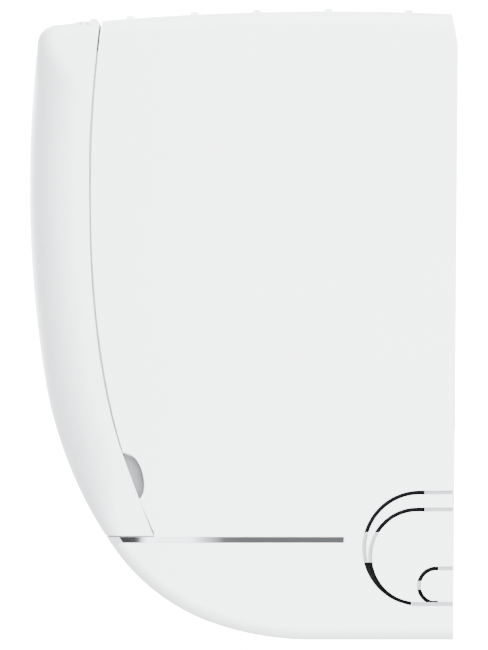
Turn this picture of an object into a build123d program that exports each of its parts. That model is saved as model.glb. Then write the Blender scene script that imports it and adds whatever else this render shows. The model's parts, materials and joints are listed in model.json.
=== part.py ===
from build123d import *

import os
from math import cos, hypot, radians, sin, sqrt

# Indoor unit of a wall-mounted split air conditioner.
#
# The unit hangs on a steel plate that is screwed to the wall. A casing with two end caps, open at
# the back, covers a chassis that carries the coil, the cross-flow fan, its motor and the control
# box. Air goes in through the top grille and the two filters behind the hinged front panel. It
# leaves through the mouth at the lower front, past twelve upright vanes in two linked groups and
# one long flap.
#
# Frame: millimetres. The origin is the centre of the mounting plate's wall face. +X is to the right
# for someone who faces the unit, +Y goes into the wall and +Z is up. Places in the cross-section are
# written at(out, up): out is the distance from the wall into the room and up is the height above the
# unit's underside.

# ---------------------------------------------------------------- driving dimensions
unit_width = 805.0
unit_depth = 194.4
unit_height = 285.0

casing_wall = 2.2
panel_wall = 2.5
chassis_wall = 2.4
end_edge_radius = 6.0
seam_gap = 0.8
piece_gap = 0.3

left_bay = 52.5
right_bay = 112.0
bulkhead_thickness = 2.5

fan_radius = 46.0
fan_blade_count = 35
fan_segment_count = 8
shaft_radius = 4.0
running_clearance = 0.05

coil_thickness = 22.0
pipe_outer_radius = 3.5

vane_count = 12
vane_pitch = 50.0
vane_thickness = 1.5
vane_pin_radius = 2.0
flap_socket_radius = 3.2

flap_thickness = 3.0
mouth_margin = 57.5
hinge_pin_radius = 1.6

# ---------------------------------------------------------------- shared places
half_width = unit_width / 2
mouth_half_width = half_width - mouth_margin
depth_ratio = unit_depth / 194.4
height_ratio = unit_height / 285.0
plate_centre_up = 172.5


def at(out, up):
    """A point of the cross-section as (y, z): out from the wall, up from the underside, at the drawn size."""
    return (-out * depth_ratio, (up - plate_centre_up) * height_ratio)


bulkhead_left = -half_width + left_bay
bulkhead_right = half_width - right_bay
duct_left = bulkhead_left + bulkhead_thickness
duct_right = bulkhead_right - bulkhead_thickness
duct_centre = (duct_left + duct_right) / 2
coil_left = duct_left + 17.5
coil_right = duct_right - 20.0
fan_left = duct_left + 7.5
fan_right = duct_right - 7.0

fan_y, fan_z = at(82, 114)
flap_y, flap_z = at(102.5, 9.5)
hinge_y, hinge_z = at(168, 277.8)
ledge_up = 46.7
trim_bottom_up = 44.0
trim_rear_out = 51.7
trim_depth = 1.2
frame_radius = 813.0
frame_centre_y, frame_centre_z = at(168.2, 186.6)
frame_centre_y += frame_radius


# ---------------------------------------------------------------- helpers
def slab(x0, x1, out0, out1, up0, up1, mode=Mode.ADD):
    """A box between two stations along the width and two corners of the cross-section."""
    y0, z0 = at(out0, up0)
    y1, z1 = at(out1, up1)
    with Locations(((x0 + x1) / 2, (y0 + y1) / 2, (z0 + z1) / 2)):
        Box(abs(x1 - x0), abs(y1 - y0), abs(z1 - z0), mode=mode)


def prism(points, x0, x1, mode=Mode.ADD):
    """A straight-sided outline in the cross-section, run from x0 to x1."""
    with BuildSketch(Plane.YZ.offset(x0)) as profile:
        with BuildLine():
            Polyline(*points, close=True)
        make_face()
    extrude(profile.sketch, amount=x1 - x0, mode=mode)


def bar(y, z, radius, x0, x1, mode=Mode.ADD):
    """A round bar or hole along the width."""
    with BuildSketch(Plane.YZ.offset(x0)) as profile:
        with Locations((y, z)):
            Circle(radius)
    extrude(profile.sketch, amount=x1 - x0, mode=mode)


def ribbon(points, width, x0, x1, mode=Mode.ADD):
    """A wall of even thickness that follows straight runs in the cross-section."""
    with BuildSketch(Plane.YZ.offset(x0)) as profile:
        with BuildLine() as path:
            Polyline(*points)
        trace(path.line, line_width=width)
    extrude(profile.sketch, amount=x1 - x0, mode=mode)


def tangent_arcs(start, heading, arcs):
    """Start, middle and end of each arc of a smooth chain that turns to the right."""
    found = []
    y, z = start
    for radius, turn in arcs:
        centre_y = y + radius * sin(radians(heading))
        centre_z = z - radius * cos(radians(heading))
        points = [
            (
                centre_y - radius * sin(radians(heading - share * turn)),
                centre_z + radius * cos(radians(heading - share * turn)),
            )
            for share in (0, 0.5, 1)
        ]
        found.append(points)
        y, z = points[2]
        heading -= turn
    return found


def save(part, name):
    """Labels a finished piece and writes it as its own STEP file."""
    part.label = name
    export_step(part, f"parts/{name}.step")


os.makedirs("parts", exist_ok=True)

# ---------------------------------------------------------------- outline of the whole unit
# From the flat underside: chin, lower front, front, brow, top front corner and top.
skin_arcs = tangent_arcs(
    (-66.9, 0.0),
    180.0,
    [(133.6, 19.4), (91.3, 34.8), (185.4, 26.9), (554.5, 15.63), (9.0, 77.47), (1229.0, 8.4)],
)

with BuildSketch() as unit_outline:
    with BuildLine():
        for first, middle, last in skin_arcs:
            ThreePointArc(at(-first[0], first[1]), at(-middle[0], middle[1]), at(-last[0], last[1]))
        top_back = skin_arcs[-1][2]
        chin_start = skin_arcs[0][0]
        Polyline(at(-top_back[0], top_back[1]), at(0, 270), at(2.2, 0), at(-chin_start[0], chin_start[1]))
    make_face()

side_curve_start = at(97, 0)[0]
side_curve_radius = 900.0


def unit_body(inset=0.0):
    """The solid inside the unit's skin, moved inwards by inset all round, with its ends rounded."""
    end_x = half_width - inset
    radius = side_curve_radius - inset
    front_y = at(204, 0)[0]
    low_z, high_z = at(0, -5)[1], at(0, 295)[1]

    def end_station(y):
        return end_x - radius + sqrt(radius**2 - (side_curve_start - y) ** 2)

    with BuildPart() as body:
        with BuildSketch(Plane.YZ.offset(-end_x)):
            add(unit_outline.sketch)
            if inset:
                offset(amount=-inset, kind=Kind.ARC)
        extrude(amount=2 * end_x)
        with BuildSketch(Plane.XY.offset(low_z)):
            with BuildLine():
                middle_y = (front_y + side_curve_start) / 2
                Polyline((end_x, side_curve_start), (end_x, 10), (-end_x, 10), (-end_x, side_curve_start))
                Line((end_station(front_y), front_y), (-end_station(front_y), front_y))
                for side in (-1, 1):
                    ThreePointArc(
                        (side * end_x, side_curve_start),
                        (side * end_station(middle_y), middle_y),
                        (side * end_station(front_y), front_y),
                    )
            make_face()
        extrude(amount=high_z - low_z, mode=Mode.INTERSECT)
        fillet(
            body.edges().filter_by(
                lambda edge: abs(edge.center().X) > end_x - 12 and edge.center().Y < -3.5 - inset
            ),
            max(end_edge_radius - inset, 0.5),
        )
    return body.part


body_full = unit_body()
body_trim = unit_body(trim_depth)
body_casing = unit_body(casing_wall)
body_panel = unit_body(panel_wall)
body_bulge = unit_body(panel_wall + seam_gap)
body_bulge_inner = unit_body(panel_wall + seam_gap + casing_wall)

# ---------------------------------------------------------------- casing and its end caps
seam_line = [
    (161.3, 300),
    (161.8, 281),
    (165.4, 244.7),
    (166.7, 214),
    (164.9, 154),
    (156.3, 99.7),
    (138.2, 48.9),
]


def seam_region(shift, front, bottom_up):
    """Everything in front of the seam, or behind it, down to a height; shift moves it out from the wall."""
    far = 260 if front else -30
    with BuildSketch(Plane.YZ.offset(-half_width - 5)) as profile:
        with BuildLine():
            points = [at(out + shift, up) for out, up in seam_line]
            Line(points[0], points[1])
            Spline(*points[1:])
            foot = at(seam_line[-1][0] + shift, bottom_up)
            Polyline(points[-1], foot, at(far, bottom_up), at(far, 300), points[0])
        make_face()
    extrude(profile.sketch, amount=unit_width + 10)


def behind_frame(shift, bottom_up):
    """Everything behind the curved filter frame; shift moves it back towards the wall."""
    radius = frame_radius - shift
    knee_z = at(0, 266)[1]
    low_z = at(0, bottom_up)[1]

    def arc_point(z):
        return (frame_centre_y - sqrt(radius**2 - (z - frame_centre_z) ** 2), z)

    top_y = at(158.5 - shift, 0)[0]
    with BuildSketch(Plane.YZ.offset(-half_width - 5)) as profile:
        with BuildLine():
            ThreePointArc(arc_point(low_z), arc_point(frame_centre_z), arc_point(knee_z))
            Polyline(
                arc_point(knee_z),
                (top_y, at(0, 272)[1]),
                (top_y, at(0, 300)[1]),
                at(-30, 300),
                at(-30, bottom_up),
                arc_point(low_z),
            )
        make_face()
    extrude(profile.sketch, amount=unit_width + 10)


with BuildPart() as seam_front:
    seam_region(-seam_gap / 2, True, ledge_up)
with BuildPart() as seam_back_inner:
    seam_region(-seam_gap / 2 - casing_wall, False, -20)
with BuildPart() as frame_space:
    behind_frame(0, ledge_up - 1)
with BuildPart() as frame_space_inner:
    behind_frame(casing_wall, ledge_up - casing_wall)
with BuildPart() as low_space:
    slab(-half_width, half_width, 260, -30, -20, ledge_up - casing_wall)

lip_up = 41.8
mouth_rear_out = 95.7
mouth_points = [at(mouth_rear_out, -5), at(mouth_rear_out, 30), at(120, lip_up), at(200, lip_up), at(200, -5)]
knock_outs = [((17.3, 41.5), 25.3), ((18.4, 37.65), 21.45), ((9.9, 24.5), 7.9)]
knock_slot = 1.8


def knock_loop(centre, radius):
    """The outline of one knock-out: a half circle that runs straight back to the rear edge."""
    y, z = at(*centre)
    rear_y = 2.0
    with BuildLine() as loop:
        Line((rear_y, z + radius), (y, z + radius))
        ThreePointArc((y, z + radius), (y - radius, z), (y, z - radius))
        Line((y, z - radius), (rear_y, z - radius))
    trace(loop.line, line_width=knock_slot)


def window(out0, out1, up0, up1, mode):
    """A plain rectangle of the cross-section, for cutting sketches down to a range."""
    y0, z0 = at(out0, up0)
    y1, z1 = at(out1, up1)
    with Locations(((y0 + y1) / 2, (z0 + z1) / 2)):
        Rectangle(abs(y1 - y0), abs(z1 - z0), mode=mode)


with BuildSketch() as knock_grooves:
    for centre, radius in knock_outs:
        knock_loop(centre, radius)

with BuildSketch() as knock_cuts_top:
    for centre, radius in knock_outs[:2]:
        knock_loop(centre, radius)
    window(15.1, 60, 48.7, 80, Mode.INTERSECT)

with BuildSketch() as knock_cuts_crescent:
    for (centre, radius), mode in zip(knock_outs[:2], (Mode.ADD, Mode.SUBTRACT)):
        with Locations(at(*centre)):
            Circle(radius + (knock_slot / 2 if mode == Mode.ADD else -knock_slot / 2), mode=mode)
    window(21.2, 60, 0, 35.2, Mode.INTERSECT)

with BuildSketch() as knock_cuts_small:
    knock_loop(*knock_outs[2])
    window(9, 60, 26.6, 40, Mode.INTERSECT)

with BuildSketch() as knock_cuts_small_low:
    knock_loop(*knock_outs[2])
    window(9, 60, 10, 22.9, Mode.INTERSECT)
    window(9.1, 11.3, 15.6, 17.8, Mode.ADD)

notch_points = [(152.1, 84.9), (146.5, 82.6), (142.7, 74.8), (142.1, 70.4), (142.7, 66.2), (144.5, 63.6)]
notch_backing = [(158.5, 88), (145.3, 87), (139.8, 77), (139.8, 63.5), (142.8, 61), (152.5, 61)]
notch_depth = 6.0


def notch_sketch():
    """The D shape of the finger notch, run on forwards under the panel's edge."""
    with BuildLine() as outline:
        points = [at(*point) for point in notch_points]
        Spline(*points)
        Polyline(points[-1], at(151, 63.6), at(157.5, 84.9), points[0])
    make_face(outline.edges())


filter_spans = [(duct_left + 9.5, -32.0), (-18.0, duct_right)]
filter_low_up = 106.0
filter_high_up = 250.0


def frame_band(inner, outer, up0, up1, x0, x1, mode=Mode.ADD):
    """A curved band in front of the frame, between two distances from it and two heights."""

    def arc_point(distance, up):
        radius = frame_radius + distance
        z = at(0, up)[1]
        return (frame_centre_y - sqrt(radius**2 - (z - frame_centre_z) ** 2), z)

    middle_up = (up0 + up1) / 2
    with BuildSketch(Plane.YZ.offset(x0)) as profile:
        with BuildLine():
            ThreePointArc(arc_point(inner, up0), arc_point(inner, middle_up), arc_point(inner, up1))
            Line(arc_point(inner, up1), arc_point(outer, up1))
            ThreePointArc(arc_point(outer, up1), arc_point(outer, middle_up), arc_point(outer, up0))
            Line(arc_point(outer, up0), arc_point(inner, up0))
        make_face()
    extrude(profile.sketch, amount=x1 - x0, mode=mode)


filter_gap = 0.4
filter_thickness = 3.0
grille_half_width = 385.0
grille_rear_out = 12.0
grille_front_out = 156.0
button_x = half_width - 62.5
button_y, button_z = at(0, 68)
button_radius = 3.0
screw_stations = (duct_left + 40, duct_centre, duct_right - 40)
screw_y = at(86, 0)[0]
screw_head_radius = 4.0
screw_shank_radius = 1.9
ear_outer_x = half_width - 12.0
ear_width = 7.7
ear_radius = 1.9

panel_turn_radius = at(161.4, 0)[0] - hinge_y - 0.7
end_cap_depth = notch_depth + casing_wall + 0.1
cap_line = half_width - end_cap_depth


def mouth_cheek(side):
    """The wall at one end of the mouth, with the bore for the flap's pin."""
    cheek_x = side * (mouth_half_width + 2.0)
    points = [
        at(96.2, 0),
        at(96.2, 13.6),
        at(91.5, 21.5),
        at(90, 34),
        at(128, 80),
        at(131, 86),
        at(134.5, 84.5),
        at(154.5, 47),
        at(160, 40),
        at(160, 0),
    ]
    with BuildPart() as cheek:
        prism(points, cheek_x - 2.0, cheek_x + 2.0)
        add(body_full, mode=Mode.INTERSECT)
        bar(flap_y, flap_z, vane_pin_radius + running_clearance, cheek_x - 3, cheek_x + 3, mode=Mode.SUBTRACT)
    return cheek.part


def notch_pocket(side):
    """The wall behind one finger notch."""
    outer_x = half_width - casing_wall - 0.5
    inner_x = half_width - notch_depth - casing_wall
    backing = sorted((side * outer_x, side * inner_x))
    with BuildPart() as pocket:
        prism([at(*point) for point in notch_backing], *backing)
        add(body_bulge & frame_space.part, mode=Mode.INTERSECT)
    return pocket.part


def strip_space():
    """The band of skin that the bright strip takes up."""
    with BuildPart() as ring:
        add(body_full - body_trim)
        slab(
            -half_width - 1,
            half_width + 1,
            260,
            trim_rear_out,
            trim_bottom_up,
            ledge_up,
            mode=Mode.INTERSECT,
        )
    return ring.part


strip_ring = strip_space()

with BuildPart() as casing:
    add(body_full - seam_front.part)
    add(body_bulge & frame_space.part)
    add(body_casing & seam_back_inner.part, mode=Mode.SUBTRACT)
    add(body_casing & low_space.part, mode=Mode.SUBTRACT)
    add(body_bulge_inner & frame_space_inner.part, mode=Mode.SUBTRACT)
    slab(-half_width + casing_wall, half_width - casing_wall, 6, -10, casing_wall, 266, mode=Mode.SUBTRACT)
    # the mouth, its cheeks and the blank behind the flap's right end
    prism(mouth_points, -mouth_half_width, mouth_half_width, mode=Mode.SUBTRACT)
    for side in (-1, 1):
        add(mouth_cheek(side))
    socket_x = (mouth_half_width + 4, mouth_half_width + 15)
    bar(flap_y, flap_z, flap_socket_radius + piece_gap, *socket_x, mode=Mode.SUBTRACT)
    ribbon([at(94.6, 2.6), at(94.6, 9.6)], casing_wall, -mouth_half_width, mouth_half_width)
    ribbon(
        [at(95.7, 3), at(93.5, 20), at(112, 27), at(138, 44), at(155.5, 45.6)],
        casing_wall,
        duct_right + bulkhead_thickness + piece_gap,
        mouth_half_width + 2,
    )
    # the filter windows, the rails that guide the filters and the stops under them
    for x0, x1 in filter_spans:
        slab(x0 + 8, x1 - 8, 175, 150, filter_low_up + 6, filter_high_up - 6, mode=Mode.SUBTRACT)
        for edge_x, side in ((x0, -1), (x1, 1)):
            wall_x = sorted((edge_x + side * 0.4, edge_x + side * 2.9))
            hook_x = sorted((edge_x - side * 2.2, edge_x + side * 2.9))
            outer = filter_gap + filter_thickness + 0.4
            frame_band(-0.5, outer + 1.6, filter_low_up - 3, filter_high_up - 4, *wall_x)
            frame_band(outer, outer + 1.6, filter_low_up - 3, filter_high_up - 4, *hook_x)
        frame_band(-0.5, 3.2, filter_low_up - 2.0, filter_low_up - 0.4, x0, x1)
    # the opening for the top grille
    slab(
        -grille_half_width,
        grille_half_width,
        grille_front_out,
        grille_rear_out,
        262,
        300,
        mode=Mode.SUBTRACT,
    )
    # room in the frame's top for the panel's rear corner as it turns
    bar(hinge_y, hinge_z, panel_turn_radius + 0.4, -cap_line, cap_line, mode=Mode.SUBTRACT)
    # hinge ears with their pins
    for side in (-1, 1):
        inner_x, outer_x = sorted((side * ear_outer_x, side * (ear_outer_x - ear_width)))
        with BuildSketch(Plane.YZ.offset(inner_x)):
            with Locations((hinge_y, hinge_z)):
                Circle(ear_radius)
            with BuildLine():
                Polyline(
                    (hinge_y - 1.8, hinge_z),
                    (hinge_y + 0.3, hinge_z),
                    at(163.6, 262),
                    at(166.4, 262),
                    close=True,
                )
            make_face()
        extrude(amount=ear_width)
        pin_x = sorted((side * (ear_outer_x - 1), side * (ear_outer_x + 5)))
        bar(hinge_y, hinge_z, hinge_pin_radius, *pin_x)
    # the finger notches, backed by a pocket wall
    for side in (-1, 1):
        add(notch_pocket(side))
        cut = sorted((side * (half_width - notch_depth), side * (half_width + 1)))
        with BuildSketch(Plane.YZ.offset(cut[0])):
            notch_sketch()
        extrude(amount=cut[1] - cut[0], mode=Mode.SUBTRACT)
    # the knock-outs for the pipes at the rear lower ends
    for side in (-1, 1):
        for sketch, depth in (
            (knock_grooves, 0.6),
            (knock_cuts_top, 4),
            (knock_cuts_crescent, 4),
            (knock_cuts_small, 4),
            (knock_cuts_small_low, 4),
        ):
            span = sorted((side * (half_width - depth), side * (half_width + 1)))
            with BuildSketch(Plane.YZ.offset(span[0])):
                add(sketch.sketch)
            extrude(amount=span[1] - span[0], mode=Mode.SUBTRACT)
    # holes for the screws that hold the casing to the chassis
    for x in screw_stations:
        with BuildSketch(Plane.XY.offset(at(0, -3)[1])):
            with Locations((x, screw_y)):
                Circle(screw_head_radius + piece_gap)
        extrude(amount=9, mode=Mode.SUBTRACT)
    # the groove for the bright strip and the hole for the emergency button
    add(strip_ring, mode=Mode.SUBTRACT)
    with BuildSketch(Plane.XZ.offset(-at(150, 0)[0])):
        with Locations((button_x, button_z)):
            Circle(button_radius + 0.5)
    extrude(amount=20, mode=Mode.SUBTRACT)

with BuildPart() as casing_middle:
    add(casing.part)
    slab(-cap_line, cap_line, 260, -30, -20, 310, mode=Mode.INTERSECT)
save(casing_middle.part, "casing")

for name, side in (("left", -1), ("right", 1)):
    with BuildPart() as end_cap:
        add(casing.part)
        cap_x = sorted((side * cap_line, side * (half_width + 5)))
        slab(*cap_x, 260, -30, -20, 310, mode=Mode.INTERSECT)
    save(end_cap.part, f"end_cap_{name}")

save(strip_ring, "trim_strip")

# ---------------------------------------------------------------- front panel and what rides on it
top_arc_radius, top_arc_turn = 1229.0, 8.4
top_arc_end_y, top_arc_end_z = skin_arcs[-1][2]
top_heading = radians(5.8 - top_arc_turn)
top_arc_y = top_arc_end_y + top_arc_radius * sin(top_heading)
top_arc_z = top_arc_end_z - top_arc_radius * cos(top_heading)
rib_width = 3.7
rib_height = 1.3


def top_rib(out, width, half_length):
    """A low rib with eased edges that runs along the top skin."""
    y = at(out, 0)[0]
    top = at(0, top_arc_z + sqrt(top_arc_radius**2 - (-out - top_arc_y) ** 2))[1] + rib_height
    half = width / 2
    points = [
        (y - half, top - 2.4),
        (y - half, top - 0.5),
        (y - half + 0.5, top),
        (y + half - 0.5, top),
        (y + half, top - 0.5),
        (y + half, top - 2.4),
    ]
    prism(points, -half_length, half_length)


def hinge_boss(boss_x):
    """The round boss that a hinge pin turns in."""
    points = [
        (hinge_y - 3.3, hinge_z),
        (hinge_y + 3.3, hinge_z),
        (hinge_y + 3.3, hinge_z + 2.4),
        (hinge_y - 3.3, hinge_z + 2.4),
    ]
    with BuildPart() as boss:
        bar(hinge_y, hinge_z, 3.3, *boss_x)
        prism(points, *boss_x)
        add(body_panel, mode=Mode.INTERSECT)
    return boss.part


def turning_corner():
    """What the panel's rear top corner loses to keep within the circle that it turns in."""
    points = [
        (hinge_y, hinge_z),
        (hinge_y + 14, hinge_z),
        (hinge_y + 14, hinge_z + 12),
        (hinge_y, hinge_z + 12),
    ]
    with BuildPart() as corner:
        prism(points, -half_width - 1, half_width + 1)
        bar(hinge_y, hinge_z, panel_turn_radius, -half_width - 2, half_width + 2, mode=Mode.SUBTRACT)
    return corner.part


with BuildPart() as panel_space:
    seam_region(seam_gap / 2, True, ledge_up + 0.5)
panel_shell = (body_full - body_panel) & panel_space.part
lens_right_x = half_width - 80.5
lens_left_x = lens_right_x - 60.0
lens_low_up, lens_high_up = 58.0, 72.0

with BuildPart() as front_panel:
    add(panel_shell)
    top_rib(163.95, 3.0, half_width - end_edge_radius - 1)
    for side in (-1, 1):
        boss_x = sorted((side * (ear_outer_x + 0.4), side * (half_width - 1.0)))
        add(hinge_boss(boss_x))
        wall_x = sorted((side * (half_width - 6), side * (half_width - 1.2)))
        bar(hinge_y, hinge_z, 3.3, *wall_x)
        bore_x = sorted((side * (ear_outer_x), side * (ear_outer_x + 5.4)))
        bar(hinge_y, hinge_z, hinge_pin_radius + running_clearance, *bore_x, mode=Mode.SUBTRACT)
        pocket_x = sorted((side * (ear_outer_x + 0.4), side * (ear_outer_x - ear_width - 0.5)))
        bar(hinge_y, hinge_z, ear_radius + 0.4, *pocket_x, mode=Mode.SUBTRACT)
    add(turning_corner(), mode=Mode.SUBTRACT)
    lens_box = (lens_left_x - 0.1, lens_right_x + 0.1, 190, 150, lens_low_up - 0.1, lens_high_up + 0.1)
    slab(*lens_box, mode=Mode.SUBTRACT)
save(front_panel.part, "front_panel")

with BuildPart() as display_lens:
    add(panel_shell)
    slab(lens_left_x, lens_right_x, 190, 150, lens_low_up, lens_high_up, mode=Mode.INTERSECT)
save(display_lens.part, "display_lens")

with BuildPart() as panel_catches:
    for x in (-240, 0, 240):
        slab(x - 9, x + 9, 175, 158.6, 51.5, 56.5)
    add(body_panel, mode=Mode.INTERSECT)
save(panel_catches.part, "panel_catches")

board_left_x = half_width - 150.5
board_right_x = half_width - 50.5

with BuildPart() as display_board:
    frame_band(0.1, 2.5, 57, 80, board_left_x, board_right_x)
    with BuildSketch(Plane.XZ.offset(-at(150, 0)[0])):
        with Locations((button_x, button_z)):
            Circle(button_radius + 0.1)
    extrude(amount=20, mode=Mode.SUBTRACT)
save(display_board.part, "display_board")

with BuildPart() as emergency_button:
    with BuildSketch(Plane.XZ.offset(-at(158.2, 0)[0])):
        with Locations((button_x, button_z)):
            Circle(button_radius)
    extrude(amount=6.6)
    fillet(emergency_button.edges().group_by(Axis.Y)[0], 0.6)
    with BuildSketch(Plane.XZ.offset(-at(153.6, 0)[0])):
        with Locations((button_x, button_z)):
            Circle(1.6)
    extrude(amount=5)
save(emergency_button.part, "emergency_button")

# ---------------------------------------------------------------- top grille
rib_outs = (22.2, 58.7, 91.1, 119.4, 148.6)
grille_slot_pitch = 14.0
grille_slot_width = 10.0
grille_columns = int((2 * grille_half_width - 20) / grille_slot_pitch)

with BuildPart() as top_grille:
    add(body_full - body_casing)
    slab(
        -grille_half_width + 0.15,
        grille_half_width - 0.15,
        grille_front_out - 0.15,
        grille_rear_out + 0.15,
        262,
        300,
        mode=Mode.INTERSECT,
    )
    with BuildSketch(Plane.XY.offset(at(0, 268)[1])):
        for near, far in zip(rib_outs[:-1], rib_outs[1:]):
            low_y = at(far - 3.4, 0)[0]
            high_y = at(near + 3.4, 0)[0]
            with Locations((0, (low_y + high_y) / 2)):
                with GridLocations(grille_slot_pitch, 1, grille_columns, 1):
                    RectangleRounded(grille_slot_width, high_y - low_y, 2.0)
    extrude(amount=30, mode=Mode.SUBTRACT)
    for out in rib_outs:
        top_rib(out, rib_width, grille_half_width - 1.5)
save(top_grille.part, "top_grille")

# ---------------------------------------------------------------- filters
filter_border = 7.0
net_thickness = 0.5
for name, (x0, x1) in zip(("left", "right"), filter_spans):
    with BuildPart() as filter_frame:
        frame_rear = filter_gap + net_thickness
        frame_front = filter_gap + filter_thickness
        frame_band(frame_rear, frame_front, filter_low_up, filter_high_up, x0, x1)
        columns = 5
        rows = 3
        cell_x = (x1 - x0 - 2 * filter_border) / columns
        cell_up = (filter_high_up - filter_low_up - 2 * filter_border) / rows
        for column in range(columns):
            for row in range(rows):
                left_x = x0 + filter_border + column * cell_x + 1.2
                low_up = filter_low_up + filter_border + row * cell_up + 1.2
                right_x = left_x + cell_x - 2.4
                slab(left_x, right_x, 180, 150, low_up, low_up + cell_up - 2.4, mode=Mode.SUBTRACT)
        tab_x = (x0 + x1) / 2
        frame_band(frame_front - 0.2, 8, 244.5, 247.5, tab_x - 16, tab_x + 16)
    save(filter_frame.part, f"filter_{name}_frame")
    with BuildPart() as filter_mesh:
        net_ups = (filter_low_up + 2, filter_high_up - 2)
        frame_band(filter_gap, filter_gap + net_thickness, *net_ups, x0 + 2, x1 - 2)
    save(filter_mesh.part, f"filter_{name}_mesh")

# ---------------------------------------------------------------- chassis
scroll_gap = 5.0
scroll_growth = 0.0009
scroll_first, scroll_last = 60, -80


def scroll_point(angle, extra=0.0):
    """A point on the air guide behind the fan, which moves away from the fan as it goes down."""
    reach = fan_radius + scroll_gap + scroll_growth * (scroll_first - angle) ** 2 + extra
    return (fan_y + reach * cos(radians(angle)), fan_z + reach * sin(radians(angle)))


scroll_end = scroll_point(scroll_last)
lip_y, lip_z = at(95.5, 13)
straight_length = hypot(lip_y - scroll_end[0], lip_z - scroll_end[1])
flow = ((lip_y - scroll_end[0]) / straight_length, (lip_z - scroll_end[1]) / straight_length)
across = (flow[1], -flow[0])


def duct_point(along, away):
    """A point of the outlet duct: along the flow from the end of the scroll and away from its floor."""
    y = scroll_end[0] + flow[0] * along + across[0] * away
    z = scroll_end[1] + flow[1] * along + across[1] * away
    return (y, z)


pan_wall = 2.2
drain_y, drain_z = at(146, 97)
vane_along = 22.0
vane_stations = [duct_centre + vane_pitch * (index - (vane_count - 1) / 2) for index in range(vane_count)]
vane_base = duct_point(vane_along, 0)
across_3d = (0, across[0], across[1])
flow_3d = (0, flow[0], flow[1])


def duct_plane(x, along, away):
    """A plane square to the duct floor's normal, for round pins and holes that stand on the floor."""
    y, z = duct_point(along, away)
    return Plane(origin=(x, y, z), x_dir=(1, 0, 0), z_dir=across_3d)


bulkhead_upper = [
    at(9.6, 70),
    at(9.6, 272),
    at(60, 276.5),
    at(120, 274),
    at(154, 264),
    at(161.5, 240),
    at(164.5, 187),
    at(163, 130),
    at(160.5, 104),
    at(159.5, 92),
]
scroll_back = [duct_point(straight_length * 0.5, -1.2), duct_point(0, -1.2), at(50, 55), at(36.5, 70)]
bulkhead_front_left = [
    at(134.5, 89.5),
    at(126.5, 81.5),
    at(88.4, 35.2),
    duct_point(straight_length - 9, -1.2),
]
bulkhead_front_right = [
    at(134, 87),
    at(152.5, 48.2),
    at(138, 45.6),
    at(112, 28.6),
    at(93, 21.5),
    at(94, 12),
    at(93.2, 11),
]
coil_slabs = {
    "coil_front_lower": ((146.5, 100), (149.5, 172)),
    "coil_front_upper": ((147, 182), (102, 255)),
    "coil_rear": ((40, 186), (80.5, 252)),
}
tube_pitch = 21.0


def slab_frame(name):
    """Start point, direction and length of one coil slab in the cross-section."""
    start, end = (at(*place) for place in coil_slabs[name])
    length = hypot(end[0] - start[0], end[1] - start[1])
    return start, ((end[0] - start[0]) / length, (end[1] - start[1]) / length), length


def tube_places(name):
    """Centres of the tubes of one coil slab."""
    start, direction, length = slab_frame(name)
    count = int(length / tube_pitch)
    first = (length - (count - 1) * tube_pitch) / 2
    places = []
    for index in range(count):
        reach = first + index * tube_pitch
        places.append((start[0] + direction[0] * reach, start[1] + direction[1] * reach))
    return places


rear_tubes = tube_places("coil_rear")
gas_start, liquid_start = rear_tubes[0], rear_tubes[2]
gas_pipe_radius = 4.76
liquid_pipe_radius = 3.18
hook_stations = (-200.0, 200.0)

with BuildPart() as chassis:
    with BuildSketch(Plane.YZ.offset(bulkhead_left)) as guide:
        with BuildLine():
            angles = range(scroll_first, scroll_last - 1, -20)
            Spline(*[scroll_point(angle) for angle in angles])
            Polyline(
                scroll_end,
                (lip_y, lip_z),
                duct_point(straight_length, -chassis_wall),
                duct_point(0, -chassis_wall),
            )
            Line(duct_point(0, -chassis_wall), scroll_point(scroll_last, chassis_wall))
            Spline(*[scroll_point(angle, chassis_wall) for angle in reversed(angles)])
            Line(scroll_point(scroll_first, chassis_wall), scroll_point(scroll_first))
        make_face()
    extrude(amount=bulkhead_right - bulkhead_left)
    tongue = [scroll_point(scroll_first - 1, chassis_wall / 2), at(54, 176)]
    ribbon(tongue, chassis_wall, bulkhead_left, bulkhead_right)
    ribbon([at(55, 166), at(11, 164)], chassis_wall, bulkhead_left, bulkhead_right)
    slab(bulkhead_left, bulkhead_right, 12, 9.6, 70, 272)
    slab(bulkhead_left, bulkhead_right, 36.5, 9.6, 70, 72.4)
    for x0, front in ((bulkhead_left, bulkhead_front_left), (duct_right, bulkhead_front_right)):
        prism(bulkhead_upper + front + scroll_back, x0, x0 + bulkhead_thickness)
        bar(fan_y, fan_z, 17.0 if x0 < 0 else 13.0, x0 - 1, x0 + bulkhead_thickness + 1, mode=Mode.SUBTRACT)
        bar(drain_y, drain_z, 9.4, x0 - 1, x0 + bulkhead_thickness + 1, mode=Mode.SUBTRACT)
    for place, radius in ((gas_start, gas_pipe_radius), (liquid_start, liquid_pipe_radius)):
        bar(*place, radius + 1.2, duct_right - 1, bulkhead_right + 1, mode=Mode.SUBTRACT)
    for x in hook_stations:
        slab(x - 20, x + 20, 9.7, 3.0, 259.6, 262)
        slab(x - 20, x + 20, 5.2, 3.0, 251.8, 261)
    for x in screw_stations:
        with BuildSketch(Plane.XY.offset(at(0, 6)[1])):
            with Locations((x, screw_y)):
                Circle(4.2)
        extrude(amount=at(0, 22)[1] - at(0, 6)[1])
        with BuildSketch(Plane.XY.offset(at(0, 5)[1])):
            with Locations((x, screw_y)):
                Circle(screw_shank_radius + running_clearance)
        extrude(amount=at(0, 19)[1] - at(0, 5)[1], mode=Mode.SUBTRACT)
    for x in vane_stations:
        with BuildSketch(duct_plane(x, vane_along, -8)):
            Circle(vane_pin_radius + running_clearance)
        extrude(amount=9, mode=Mode.SUBTRACT)
save(chassis.part, "chassis")

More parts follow.
